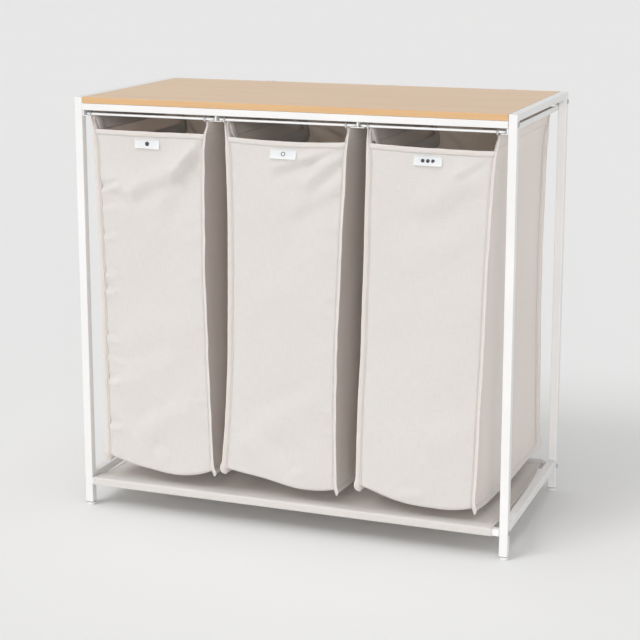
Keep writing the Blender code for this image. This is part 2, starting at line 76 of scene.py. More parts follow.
BAND_BEND = 0.018           # bend of a handle's middle line at its two corners
STITCH_PITCH = 0.0044
STITCH_LENGTH = 0.0031
STITCH_R = 0.00042
SLING_CLOTH = 0.0009        # thickness of the sling
SLING_JOIN = 0.012          # the cloth leaves a low tube this far inside it

# Each bag hangs a little differently.  Values are in metres unless said, pairs are (left, right).
# front_edges: how far the front edges stand from straight down, at six equal steps from the rods
#   to the floor seam; back_edges needs only the last of those.
# corner_rise: lift of the lower corners.  belly: sag of the floor, deepest at belly_at, a share of
#   the width.  neck: rise of the upper edges at their two ends, and their dip between them.
# lean: direction of the soft waves, in radians.  pinched: strength of the creases at the seams.
# seed: picks the bag's noise.
# creases: start and end, as shares of the front panel's width and height, then the fold's width,
#   as a share of the panel's height, and its depth.
BAGS = {
    "left": {
        "front_edges": ((0.0030, 0.0090, 0.0123, 0.0139, 0.0136, 0.0139),
                        (-0.0020, -0.0066, -0.0064, -0.0040, 0.0000, 0.0053)),
        "back_edges": (0.007, 0.003),
        "corner_rise": (0.0030, 0.0000), "belly": 0.026, "belly_at": 0.58,
        "neck": (0.0010, 0.0010, 0.0010), "seed": 3.0, "lean": 0.75,
        "pinched": (1.15, 0.35),
        "creases": (
            ((1.00, 0.990), (0.86, 0.915), 0.015, 0.0060),
            ((0.93, 0.940), (0.74, 0.868), 0.018, 0.0070),
            ((0.80, 0.885), (0.36, 0.815), 0.030, 0.0050),
            ((0.30, 0.800), (0.02, 0.845), 0.024, 0.0024),
            ((0.98, 0.930), (0.62, 0.770), 0.040, 0.0040),
            ((0.48, 0.060), (0.60, 0.052), 0.014, 0.0024),
            ((0.10, 0.250), (0.60, 0.345), 0.040, 0.0030),
            ((0.30, 0.100), (0.80, 0.200), 0.035, 0.0028),
        ),
    },
    "middle": {
        "front_edges": ((0.0010, 0.0050, 0.0060, 0.0035, 0.0000, -0.0149),
                        (0.0000, -0.0052, -0.0130, -0.0180, -0.0220, -0.0198)),
        "back_edges": (-0.006, -0.008),
        "corner_rise": (0.0010, -0.0100), "belly": 0.014, "belly_at": 0.72,
        "neck": (-0.0010, -0.0015, 0.0045), "seed": 11.0, "lean": 0.60,
        "pinched": (0.20, 0.30),
        "creases": (
            ((0.99, 0.992), (0.68, 0.948), 0.013, 0.0060),
            ((0.72, 0.955), (0.42, 0.915), 0.020, 0.0044),
            ((0.99, 0.960), (0.70, 0.860), 0.026, 0.0056),
            ((0.98, 0.860), (0.55, 0.780), 0.030, 0.0034),
            ((0.60, 0.040), (0.70, 0.052), 0.012, 0.0022),
            ((0.15, 0.120), (0.50, 0.060), 0.035, 0.0026),
            ((0.20, 0.140), (0.80, 0.260), 0.045, 0.0026),
        ),
    },
    "right": {
        "front_edges": ((0.0000, -0.0027, -0.0062, -0.0090, -0.0141, -0.0196),
                        (-0.0020, -0.0093, -0.0150, -0.0187, -0.0250, -0.0303)),
        "back_edges": (-0.003, -0.001),
        "corner_rise": (0.0020, -0.0130), "belly": 0.019, "belly_at": 0.58,
        "neck": (-0.0010, -0.0050, 0.0020), "seed": 23.0, "lean": 0.45,
        "pinched": (0.10, 0.10),
        "creases": (
            ((0.99, 0.990), (0.74, 0.925), 0.016, 0.0036),
            ((0.86, 0.900), (0.50, 0.800), 0.045, 0.0032),
            ((0.38, 0.030), (0.52, 0.038), 0.014, 0.0026),
            ((0.60, 0.180), (0.90, 0.240), 0.045, 0.0022),
        ),
    },
}


def smoothstep(x):
    x = np.clip(x, 0.0, 1.0)
    return x * x * (3 - 2 * x)


def wander(points, scale, seed):
    """Smooth seeded noise, about -1 to 1, at each of the points."""
    offset = Vector((seed, seed * 1.7, -seed))
    return np.array([noise.noise(Vector(p) * scale + offset) for p in points])


class Bag:
    """Places of one bag, read from its CAD solids."""

    def __init__(self, name):
        low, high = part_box(f"{name}_bag")
        rod_low, rod_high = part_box(f"{name}_bag_right_rod")
        self.name = name
        self.body = f"{name}_bag_carriage"
        self.x = (low.x + high.x) / 2
        self.half_x = (high.x - low.x) / 2
        self.rod_x = (rod_low.x + rod_high.x) / 2 - self.x
        self.rod_z = high.z - (self.half_x - self.rod_x)
        self.half_y = (high.y - low.y) / 2 - CLOTH
        self.panel_y = self.half_y - CLOTH / 2
        self.neck_z = self.rod_z - NECK_DROP
        self.look = BAGS[name]

    def side_x(self, z):
        """Distance of a side panel from the bag's middle, at nominal level z."""
        below = smoothstep((self.rod_z - 0.004 - z) / 0.056)
        return self.half_x - CLOTH / 2 - (SEAM_INSET - CLOTH / 2) * below

    def edge_shift(self, fall, edge):
        """Smoothed curve through the steps of a front edge, at each share of the fall."""
        steps = self.look["front_edges"][edge]
        marks = np.linspace(0, 1, len(steps))
        lags = (-0.09, -0.045, 0, 0.045, 0.09)
        return sum(np.interp(fall + lag, marks, steps) for lag in lags) / len(lags)

    def hang(self, points):
        """Takes nominal points, in the bag's own x, to where the hanging cloth is."""
        look = self.look
        p = np.array(points, float).reshape(-1, 3)
        x, y, z = p.T
        across = np.clip((x / self.half_x + 1) / 2, 0, 1)
        along = np.clip((y / self.half_y + 1) / 2, 0, 1)
        fall = np.clip((self.rod_z - z) / (self.rod_z - SEAM_Z), 0, 1.2)

        def mixed(left, right):
            return left + (right - left) * across

        # Sideways: each edge swings by its own amount, and the seams bow in at mid height.
        front = mixed(self.edge_shift(fall, 0), self.edge_shift(fall, 1))
        front *= smoothstep((fall - 0.006) / 0.045)
        back = mixed(*look["back_edges"]) * fall ** 1.25
        edge = (x / self.half_x) ** 3
        depth_bump = 4 * along * (1 - along)
        seam_wave = wander(np.stack([np.sign(x) * 3, y * 1.5, z], 1), 9.0, look["seed"])
        bow = 0.004 * along + 0.009 * depth_bump
        out_x = x + front * (1 - along) + back * along
        out_x -= edge * bow * np.sin(np.pi * np.clip(fall, 0, 1) ** 0.8)
        out_x += edge * 0.0018 * seam_wave * smoothstep(fall * 3)

        # Forwards: the back bows in, and the front and back waver a little.
        out_y = y - BACK_BOW * along ** 2 * np.sin(np.pi * np.clip(fall, 0, 1)) ** 0.9
        out_y -= 0.0030 * along
        front_wave = wander(np.stack([x * 0.7, np.sign(y) * 2, z], 1), 6.0, look["seed"] + 5)
        out_y += 0.0016 * front_wave * smoothstep(fall * 3)

        # Downwards: the lower corners, the sides' lower edges and the floor's belly.
        low = smoothstep((fall - 0.70) / 0.30)
        out_z = z + mixed(*look["corner_rise"]) * low + 0.010 * along * low
        out_z -= SIDE_SAG * depth_bump * low
        peak = math.log(0.5) / math.log(look["belly_at"])
        belly = np.sin(np.pi * across ** peak) ** 0.6
        lowest = smoothstep((fall - 0.88) / 0.12)
        out_z -= look["belly"] * belly * lowest * (1 - 0.35 * depth_bump)

        # The upper edges of the front and back panels dip between the rods.
        left, right, scoop = look["neck"]
        on_panel = smoothstep((np.abs(y) / self.half_y - 0.9) / 0.08)
        near_neck = smoothstep((z - self.neck_z + 0.16) / 0.16)
        near_neck *= 1 - smoothstep((z - self.neck_z - 0.002) / 0.02)
        rise = mixed(left, right) - scoop * 4 * across * (1 - across)
        rise += 0.0007 * wander(np.stack([x, np.sign(y), z * 0], 1), 30.0, look["seed"] + 7)
        out_z += rise * on_panel * near_neck
        return np.stack([out_x + self.x, out_y, out_z], 1)


# ---- mesh tools

def new_object(name, mesh, material, body):
    """Puts a mesh in the scene, riding on one of the frame's bodies."""
    piece = bpy.data.objects.new(name, mesh)
    bpy.context.scene.collection.objects.link(piece)
    mesh.materials.append(material)
    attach(piece, body)
    return piece


def grid_mesh(name, points, uv, wrap=False):
    """Smooth mesh of (rows, columns, 3) points, with (rows, columns, 2) uv in metres."""
    rows, columns = points.shape[:2]
    mesh = bpy.data.meshes.new(name)
    faces = []
    last = columns if wrap else columns - 1
    for i in range(rows - 1):
        for j in range(last):
            k = (j + 1) % columns
            faces.append((i * columns + j, i * columns + k, (i + 1) * columns + k,
                          (i + 1) * columns + j))
    mesh.from_pydata(points.reshape(-1, 3).tolist(), [], faces)
    flat = uv.reshape(-1, 2)
    layer = mesh.uv_layers.new(name="weave")
    for loop in mesh.loops:
        layer.data[loop.index].uv = flat[loop.vertex_index]
    mesh.shade_smooth()
    return mesh


def sheet_object(name, points, uv, material, body, thickness=CLOTH):
    """Cloth of a given thickness, with the points on its middle surface."""
    piece = new_object(name, grid_mesh(name, points, uv), material, body)
    solid = piece.modifiers.new("cloth", "SOLIDIFY")
    solid.thickness = thickness
    solid.offset = 0.0
    solid.use_even_offset = True
    return piece


def unit(vectors):
    return vectors / np.linalg.norm(vectors, axis=1)[:, None]


def length_along(path):
    """Length of a path up to each of its points."""
    steps = np.linalg.norm(np.diff(path, axis=0), axis=1)
    return np.concatenate([[0], np.cumsum(steps)])


def frames_along(path, across):
    """Unit vectors across a path and out of it."""
    tangent = unit(np.gradient(path, axis=0))
    side = unit(across - (across * tangent).sum(1)[:, None] * tangent)
    return side, np.cross(tangent, side)


def band_points(path, across, start, end, thickness):
    """Closed rounded section swept along a path.

    It reaches from start to end along the across vectors; both may vary along the path.
    """
    side, out = frames_along(path, across)
    start = np.broadcast_to(start, len(path))
    end = np.broadcast_to(end, len(path))
    half = np.broadcast_to(thickness, len(path)) / 2
    middle = (start + end) / 2
    inset = half * 0.7
    nose = half * 0.4
    section = ((start + inset, -half), (start, -nose), (start, nose), (start + inset, half),
               (middle, half), (end - inset, half), (end, nose), (end, -nose),
               (end - inset, -half), (middle, -half))
    return np.stack([path + side * reach[:, None] + out * lift[:, None]
                     for reach, lift in section], 1)


def band_object(name, path, across, start, end, thickness, material, body):
    """Solid band with closed ends; see band_points."""
    points = band_points(path, across, start, end, thickness)
    rows, columns = points.shape[:2]
    length = length_along(path)
    width = np.array([0, 0, 0, 0, 0.5, 1, 1, 1, 1, 0.5]) * float(np.max(end) - np.min(start))
    uv = np.stack([np.broadcast_to(width, (rows, columns)),
                   np.broadcast_to(length[:, None], (rows, columns))], 2)
    mesh = grid_mesh(name, points, uv, wrap=True)
    edit = bmesh.new()
    edit.from_mesh(mesh)
    edit.verts.ensure_lookup_table()
    for ring in (0, rows - 1):
        edit.faces.new([edit.verts[ring * columns + k] for k in range(columns)])
    bmesh.ops.recalc_face_normals(edit, faces=edit.faces)
    edit.to_mesh(mesh)
    edit.free()
    mesh.shade_smooth()
    mesh.set_sharp_from_angle(angle=math.radians(50))
    return new_object(name, mesh, material, body)


def resample(path, step):
    """Points a fixed step apart along a path."""
    length = length_along(path)
    places = np.arange(step / 2, length[-1], step)
    return np.stack([np.interp(places, length, path[:, k]) for k in range(3)], 1)


def stitch_object(name, paths, body):
    """Rows of small spindle-shaped stitches along paths; one object for all of them."""
    vertices, faces = [], []
    for path in paths:
        places = resample(np.asarray(path, float), STITCH_PITCH)
        if len(places) < 3:
            continue
        for place, direction in zip(places, unit(np.gradient(places, axis=0))):
            upright = abs(direction[2]) >= 0.8
            helper = np.array((1.0, 0.0, 0.0) if upright else (0.0, 0.0, 1.0))
            one = np.cross(direction, helper)
            one /= np.linalg.norm(one)
            two = np.cross(direction, one)
            base = len(vertices)
            for share in (-0.3, 0.3):
                for a, b in ((1, 0), (0, 1), (-1, 0), (0, -1)):
                    vertices.append(place + direction * STITCH_LENGTH * share
                                    + (one * a + two * b) * STITCH_R)
            vertices.append(place - direction * STITCH_LENGTH / 2)
            vertices.append(place + direction * STITCH_LENGTH / 2)
            for k in range(4):
                n = (k + 1) % 4
                faces.append((base + k, base + n, base + 4 + n, base + 4 + k))
                faces.append((base + 8, base + n, base + k))
                faces.append((base + 9, base + 4 + k, base + 4 + n))
    mesh = bpy.data.meshes.new(name)
    mesh.from_pydata([tuple(v) for v in vertices], [], faces)
    mesh.shade_smooth()
    new_object(name, mesh, THREAD, body)


# ---- material tools

def connect(tree, target, inputs):
    """Links a node's inputs, or sets their own values: (socket, output socket or value) pairs."""
    for socket, value in inputs:
        if isinstance(value, bpy.types.NodeSocket):
            tree.links.new(value, target.inputs[socket])
        else:
            target.inputs[socket].default_value = value


def node(tree, kind, inputs=(), **settings):
    """Adds a shader node with its inputs, as in connect."""
    made = tree.nodes.new(f"ShaderNode{kind}")
    for key, value in settings.items():
        setattr(made, key, value)
    connect(tree, made, inputs)
    return made


def new_material(name):
    """Material, its node tree, its shader, and the place on the object as a socket."""
    material = bpy.data.materials.new(name)
    material.use_nodes = True
    tree = material.node_tree
    place = node(tree, "TexCoord").outputs["Object"]
    return material, tree, tree.nodes["Principled BSDF"], place


def math_node(tree, operation, *values):
    return node(tree, "Math", enumerate(values), operation=operation).outputs[0]


def mixed_color(tree, factor, one, two):
    return node(tree, "Mix", ((0, factor), (6, one), (7, two)), data_type="RGBA").outputs[2]


def noise_value(tree, vector, scale, detail=2.0, roughness=0.5):
    made = node(tree, "TexNoise", (("Vector", vector), ("Scale", scale), ("Detail", detail),
                                   ("Roughness", roughness)))
    return made.outputs["Fac"]


def remapped(tree, value, low, high, new_low=0.0, new_high=1.0):
    made = node(tree, "MapRange", (("Value", value), ("From Min", low), ("From Max", high),
                                   ("To Min", new_low), ("To Max", new_high)))
    return made.outputs[0]


def stretched(tree, vector, scale):
    made = node(tree, "VectorMath", ((0, vector), (1, scale)), operation="MULTIPLY")
    return made.outputs[0]


def bumped(tree, height, strength, distance):
    made = node(tree, "Bump", (("Height", height), ("Strength", strength),
                               ("Distance", distance)))
    return made.outputs["Normal"]


def rgba(color, share=1.0):
    return (*(c * share for c in color), 1.0)


def coat_material(name, color, roughness, peel=700.0):
    """Powder coat: faint orange peel, tiny tone drift and a soft gloss."""
    material, tree, shader, place = new_material(name)
    drift = noise_value(tree, place, 7.0, 3.0)
    tone = mixed_color(tree, remapped(tree, drift, 0.35, 0.65), rgba(color, 0.955), rgba(color))
    fine = noise_value(tree, place, peel, 2.0)
    gloss = remapped(tree, fine, 0.3, 0.7, roughness - 0.05, roughness + 0.05)
    connect(tree, shader, (("Base Color", tone), ("Roughness", gloss),
                           ("Normal", bumped(tree, fine, 0.22, 0.00025)),
                           ("Specular IOR Level", 0.45)))
    return material


def wood_material():
    """Light oak foil with its grain along X, and a warmer band on the front and back edges."""
    material, tree, shader, place = new_material("oak_foil")
    wave = noise_value(tree, stretched(tree, place, (1.6, 5.0, 5.0)), 1.0, 2.0)
    shift = node(tree, "CombineXYZ", (("Y", math_node(tree, "MULTIPLY", wave, 0.030)),))
    bent = node(tree, "VectorMath", ((0, place), (1, shift.outputs[0])), operation="ADD")
    bent = bent.outputs[0]
    broad = noise_value(tree, stretched(tree, bent, (0.9, 26.0, 26.0)), 1.0, 3.0)
    streak = noise_value(tree, stretched(tree, bent, (5.0, 330.0, 330.0)), 1.0, 4.0, 0.6)
    pore = noise_value(tree, stretched(tree, bent, (45.0, 1500.0, 1500.0)), 1.0, 2.0)
    pale = rgba((0.735, 0.552, 0.392))
    warm = rgba((0.700, 0.520, 0.362))
    dark = rgba((0.430, 0.280, 0.165))
    tone = mixed_color(tree, remapped(tree, broad, 0.35, 0.68), pale, warm)
    tone = mixed_color(tree, remapped(tree, streak, 0.50, 0.80, 0.0, 0.26), tone, dark)
    pores = remapped(tree, pore, 0.60, 0.74, 0.0, 0.20)
    tone = mixed_color(tree, pores, tone, dark)

    normal = node(tree, "NewGeometry").outputs["Normal"]
    facing = node(tree, "SeparateXYZ", (("Vector", normal),)).outputs["Y"]
    on_edge = math_node(tree, "GREATER_THAN", math_node(tree, "ABSOLUTE", facing), 0.6)
    band = mixed_color(tree, remapped(tree, streak, 0.35, 0.75, 0.0, 0.5),
                       rgba((0.665, 0.420, 0.215)), rgba((0.560, 0.330, 0.155)))
    height = math_node(tree, "ADD", math_node(tree, "MULTIPLY", streak, 0.5),
                       math_node(tree, "MULTIPLY", pores, -0.8))
    connect(tree, shader, (("Base Color", mixed_color(tree, on_edge, tone, band)),
                           ("Roughness", remapped(tree, streak, 0.3, 0.7, 0.46, 0.58)),
                           ("Normal", bumped(tree, height, 0.25, 0.0003)),
                           ("Specular IOR Level", 0.35)))
    return material


def weave_material(name, color, pitch, relief, twill=0.0):
    """Woven cloth: yarns on the piece's own UV, in metres, with slubs and soft tone drift."""
    material, tree, shader, place = new_material(name)
    uv = node(tree, "TexCoord").outputs["UV"]
    split = node(tree, "SeparateXYZ", (("Vector", uv),))
    turn = 2 * math.pi / pitch
    along = math_node(tree, "MULTIPLY", split.outputs["Y"], turn)
    slant = math_node(tree, "MULTIPLY", split.outputs["Y"], turn * twill)
    across = math_node(tree, "ADD", math_node(tree, "MULTIPLY", split.outputs["X"], turn), slant)
    yarn = math_node(tree, "MULTIPLY", math_node(tree, "SINE", across),
                     math_node(tree, "SINE", along))
    warp = noise_value(tree, stretched(tree, uv, (1400.0, 45.0, 1.0)), 1.0, 2.0)
    weft = noise_value(tree, stretched(tree, uv, (45.0, 1400.0, 1.0)), 1.0, 2.0)
    slub = math_node(tree, "MULTIPLY", math_node(tree, "ADD", warp, weft), 0.5)
    drift = noise_value(tree, place, 5.0, 3.0)

    tone = mixed_color(tree, remapped(tree, slub, 0.36, 0.64), rgba(color, 0.93),
                       rgba(color, 1.03))
    tone = mixed_color(tree, remapped(tree, yarn, -1.0, 1.0, 0.0, 0.12), tone,
                       rgba(color, 0.80))
    tone = mixed_color(tree, remapped(tree, drift, 0.35, 0.65, 0.0, 0.10), tone,
                       rgba((color[0] * 0.93, color[1] * 0.88, color[2] * 0.84)))
    height = math_node(tree, "ADD", math_node(tree, "MULTIPLY", yarn, 0.45), slub)
    soft = math_node(tree, "MULTIPLY", noise_value(tree, place, 60.0, 3.0), 0.6)
    height = math_node(tree, "ADD", height, soft)
    connect(tree, shader, (("Base Color", tone), ("Roughness", 0.92),
                           ("Normal", bumped(tree, height, 0.55, relief)),
                           ("Specular IOR Level", 0.18), ("Sheen Weight", 0.18),
                           ("Sheen Roughness", 0.5), ("Subsurface Weight", 0.6),
                           ("Subsurface Radius", (1.0, 0.88, 0.80)),
                           ("Subsurface Scale", 0.0032)))
    return material


def thread_material(name, color):
    """Twisted sewing thread."""
    material, tree, shader, place = new_material(name)
    twist = noise_value(tree, place, 1600.0, 1.0)
    tone = mixed_color(tree, twist, rgba(color, 0.8), rgba(color))
    connect(tree, shader, (("Base Color", tone), ("Roughness", 0.7),
                           ("Normal", bumped(tree, twist, 0.4, 0.0002))))
    return material


def moulded_material(name, color, roughness):
    """Moulded plastic with a fine spark-eroded texture."""
    material, tree, shader, place = new_material(name)
    grain = noise_value(tree, place, 1500.0, 2.0)
    drift = noise_value(tree, place, 40.0, 2.0)
    tone = mixed_color(tree, drift, rgba(color, 0.93), rgba(color))
    gloss = remapped(tree, grain, 0.3, 0.7, roughness - 0.05, roughness + 0.06)
    connect(tree, shader, (("Base Color", tone), ("Roughness", gloss),
                           ("Normal", bumped(tree, grain, 0.2, 0.0001))))
    return material


def zinc_material():
    """Zinc plating: fine spangle."""
    material, tree, shader, place = new_material("zinc_plating")
    spangle = noise_value(tree, place, 420.0, 3.0)
    tone = mixed_color(tree, spangle, rgba((0.46, 0.46, 0.47)), rgba((0.66, 0.66, 0.67)))
    connect(tree, shader, (("Base Color", tone), ("Metallic", 1.0),
                           ("Roughness", remapped(tree, spangle, 0.3, 0.7, 0.26, 0.44)),
                           ("Normal", bumped(tree, spangle, 0.12, 0.0001))))
    return material


def floor_material():
    material, tree, shader, place = new_material("studio_floor")
    drift = noise_value(tree, place, 0.8, 2.0)
    tone = mixed_color(tree, drift, rgba((0.826, 0.824, 0.818)), rgba((0.834, 0.832, 0.826)))
    connect(tree, shader, (("Base Color", tone), ("Roughness", 0.9),
                           ("Specular IOR Level", 0.0)))
    return material


WHITE = coat_material("powder_coat", (0.800, 0.792, 0.782), 0.42)
WIRE = coat_material("wire_coat", (0.830, 0.826, 0.818), 0.36, 1100.0)
WOOD = wood_material()
CANVAS = weave_material("canvas", (0.705, 0.662, 0.628), 0.0017, 0.00022)
# The side panels' canvas is tinted warmer than the front: painted warm bounce light of the shaded gaps between the
# bags.
BOUNCE_WARMED_CANVAS = weave_material("side_canvas", (0.752, 0.668, 0.618), 0.0017, 0.00022)
WEBBING = weave_material("webbing", (0.720, 0.682, 0.650), 0.0022, 0.00050, twill=1.0)
TAG = weave_material("tag_weave", (0.885, 0.882, 0.880), 0.0007, 0.00008)
THREAD = thread_material("thread", (0.560, 0.520, 0.490))
INK = thread_material("tag_thread", (0.060, 0.060, 0.070))
PLASTIC = moulded_material("white_moulding", (0.780, 0.780, 0.770), 0.45)
GREY = moulded_material("grey_moulding", (0.300, 0.300, 0.300), 0.55)
ZINC = zinc_material()

CAD_LOOKS = {"white_powder_coat": WHITE, "white_wire_coat": WIRE, "light_oak_laminate": WOOD,
             "natural_canvas": CANVAS, "cotton_webbing": WEBBING, "white_tag": TAG,
             "white_plastic": PLASTIC, "grey_plastic": GREY, "zinc_plated_steel": ZINC}


def paint_cad_nodes():
    """Gives every CAD solid the material that its slot names."""
    for part in frame["record"]["subparts"]:
        mesh = frame["nodes"][part["node"]].data
        mesh.materials.clear()
        mesh.materials.append(CAD_LOOKS[part["material_slot"]])


# ---- bag cloth

def crease_height(across, up, creases, ratio):
    """Raised fold beside a shallow valley along each short line of a panel.

    across and up run from 0 to 1 over the panel; ratio is its width over its height.
    """
    height = np.zeros_like(across)
    for (x0, z0), (x1, z1), width, depth in creases:
        line = np.array(((x1 - x0) * ratio, z1 - z0))
        length = np.linalg.norm(line)
        line /= length
        dx = (across - x0) * ratio
        dz = up - z0
        along = (dx * line[0] + dz * line[1]) / length
        off = dx * line[1] - dz * line[0]
        fade = smoothstep((along + 0.25) / 0.35) * smoothstep((1.25 - along) / 0.35)
        ridge = np.exp(-((off - 0.6 * width) / width) ** 2)
        valley = np.exp(-((off + 0.6 * width) / width) ** 2)
        height += FOLD_GAIN * depth * fade * (ridge - 0.8 * valley)
    return height


def pinches(seed, strengths, count=9):
    """Short creases that run in from the left and right seams of a panel."""
    found = []
    for k in range(count):
        for edge, direction, strength in ((0.0, 1, strengths[0]), (1.0, -1, strengths[1])):
            value = noise.noise(Vector((seed + k * 3.7, direction * 2.0, 0.5)))
            other = noise.noise(Vector((seed - k * 2.3, direction * 5.0, 1.5)))
            z = 0.08 + 0.82 * (k + 0.5 + 0.6 * value) / count
            reach = 0.10 + 0.10 * abs(other)
            found.append(((edge, z), (edge + direction * reach, z + 0.02 * other), 0.0110,
                          strength * (0.0012 + 0.0034 * abs(value))))
    return found


def strip_path(bag, count=390):
    """Nominal side view of the cloth that makes front, floor and back.

    Gives its length so far, its y and z, and the y and z of its outward normal.
    """
    half = bag.panel_y
    low = SEAM_Z
    r = FLOOR_ROUND
    height = bag.neck_z - low - r
    floor = 2 * (half - r)
    arc = math.pi / 2 * r
    marks = np.cumsum([0, height, arc, floor, arc, height])
    length = np.linspace(0, marks[-1], count)
    extra = np.concatenate([np.linspace(marks[k], marks[k + 1], 9) for k in (1, 3)])
    length = np.unique(np.round(np.concatenate([length, extra]), 6))
    found = []
    for t in length:
        if t <= marks[1]:
            found.append((-half, bag.neck_z - t, -1, 0))
        elif t <= marks[2]:
            cos, sin = math.cos((t - marks[1]) / r), math.sin((t - marks[1]) / r)
            found.append((-half + r - r * cos, low + r - r * sin, -cos, -sin))
        elif t <= marks[3]:
            found.append((-half + r + t - marks[2], low, 0, -1))
        elif t <= marks[4]:
            cos, sin = math.cos((t - marks[3]) / r), math.sin((t - marks[3]) / r)
            found.append((half - r + r * sin, low + r - r * cos, sin, -cos))
        else:
            found.append((half, low + r + t - marks[4], 1, 0))
    return length, *np.array(found, float).T


def panel_height(bag, across, y, z):
    """Folds and slack of the front, floor and back cloth, outwards, in metres."""
    up = (z - SEAM_Z) / (bag.neck_z - SEAM_Z)
    ratio = 2 * bag.half_x / (bag.neck_z - SEAM_Z)
    seed = bag.look["seed"]
    front = smoothstep((-y / bag.half_y - 0.6) / 0.3)
    back = smoothstep((y / bag.half_y - 0.6) / 0.3)
    drawn = (*bag.look["creases"], *pinches(seed, bag.look["pinched"]))
    folds = front * crease_height(across, up, drawn, ratio)
    drawn = [((1 - start[0], start[1]), (1 - end[0], end[1]), width, depth * 0.8)
             for start, end, width, depth in bag.look["creases"]]
    drawn += pinches(seed + 40, (0.5, 0.5))
    folds += back * crease_height(across, up, drawn, ratio)
    lean = bag.look["lean"]
    x = across.ravel() * 2 * bag.half_x
    run = x * math.cos(lean) + z.ravel() * math.sin(lean)
    cross = z.ravel() * math.cos(lean) - x * math.sin(lean)
    points = np.stack([run * 0.35, cross, y.ravel()], 1)
    soft = wander(points, 13.0, seed + 9).reshape(across.shape)
    fine = wander(points, 34.0, seed + 15).reshape(across.shape)
    slack = 4 * across * (1 - across)
    bulge = 0.0045 * np.sin(np.pi * np.clip(1 - up, 0, 1) ** 1.4)
    calm = 1 - 0.75 * smoothstep((up - 0.93) / 0.06)
    return (folds + slack * (bulge + 0.0054 * soft) + slack ** 0.5 * 0.0010 * fine) * calm


def front_surface(bag, across, z):
    """World point of the front panel's middle surface at shares across and nominal levels z."""
    across = np.asarray(across, float)
    z = np.asarray(z, float)
    y = np.full_like(z, -bag.panel_y)
    x = (2 * across - 1) * bag.side_x(z)
    y = y - panel_height(bag, across, y, z)
    return bag.hang(np.stack([x, y, z], -1))


def build_strip(bag, columns=57):
    """Front, floor and back of a bag are one long sheet."""
    length, y, z, ny, nz = strip_path(bag)
    across = np.linspace(0, 1, columns)
    grid_across = np.broadcast_to(across, (len(length), columns)).copy()
    grid_y = np.broadcast_to(y[:, None], grid_across.shape)
    grid_z = np.broadcast_to(z[:, None], grid_across.shape)
    lift = panel_height(bag, grid_across, grid_y, grid_z)
    half = bag.side_x(grid_z)
    x = (2 * grid_across - 1) * half
    points = np.stack([x, grid_y + ny[:, None] * lift, grid_z + nz[:, None] * lift], 2)
    world = bag.hang(points).reshape(points.shape)
    uv = np.stack([x, np.broadcast_to(length[:, None], x.shape)], 2)
    name = f"{bag.name}_bag_front_floor_back"
    piece = sheet_object(name, world, uv, CANVAS, bag.body)
    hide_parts(f"{bag.name}_bag")


def side_rows(bag):
    """Nominal section of a side panel: up its face, round the rod and down inside its hem."""
    top = bag.rod_z
    rows = []
    low_rows = SEAM_Z + FLOOR_ROUND * (1 - np.cos(np.linspace(0, math.pi / 2, 7)))
    face = np.concatenate([low_rows, np.linspace(low_rows[-1], top - 0.004, 92)[1:]])
    for z in face:
        rows.append((bag.side_x(z), z))
    for angle in np.linspace(0, math.pi, 9):
        rows.append((bag.rod_x + TUNNEL_R * math.cos(angle), top + TUNNEL_R * math.sin(angle)))
    for share in np.linspace(0, 1, 9)[1:]:
        z = top - HEM_DEPTH * share
        near = bag.rod_x - TUNNEL_R
        face_x = bag.side_x(z) - HEM_GAP
        rows.append((near + (face_x - near) * smoothstep(share * 2.2), z))
    return np.array(rows)


def build_side(bag, side_name, side, columns=49):
    """Side panel with its double hem and the rod's tunnel, as one sheet."""
    rows = side_rows(bag)
    half = bag.panel_y
    shape = (len(rows), columns)
    along = np.broadcast_to(np.linspace(0, 1, columns), shape)
    z = np.broadcast_to(rows[:, 1:2], shape)
    rise = np.clip((z - SEAM_Z) / FLOOR_ROUND, 0, 1)
    round_in = FLOOR_ROUND * (1 - np.sqrt(1 - (1 - rise) ** 2))
    ears = smoothstep((z - bag.neck_z) / 0.02)
    reach = half - round_in - 0.0012 * ears
    y = (2 * along - 1) * reach
    slack = 4 * along * (1 - along)
    fall = np.clip((bag.rod_z - z) / (bag.rod_z - SEAM_Z), 0, 1)
    points = np.stack([y.ravel() * 1.6, z.ravel() * 0.35, np.full(y.size, side * 2.0)], 1)
    folds = wander(points, 11.0, bag.look["seed"] + 30).reshape(shape)
    fine = wander(points * (1, 2, 1), 24.0, bag.look["seed"] + 33).reshape(shape)
    lift = slack * smoothstep(fall * 2.5) * (0.0038 * folds + 0.0011 * fine)
    x = side * (rows[:, 0:1] + lift)
    world = bag.hang(np.stack([x, y, z], 2)).reshape((*shape, 3))
    length = length_along(rows)
    uv = np.stack([y, np.broadcast_to(length[:, None], shape)], 2)
    name = f"{bag.name}_bag_{side_name}_side"
    if side < 0:
        world = world[:, ::-1]
        uv = uv[:, ::-1]
    # The side panels use the warmer canvas, which paints in the warm bounce light of the gaps.
    piece = sheet_object(name, world, uv, BOUNCE_WARMED_CANVAS, bag.body)


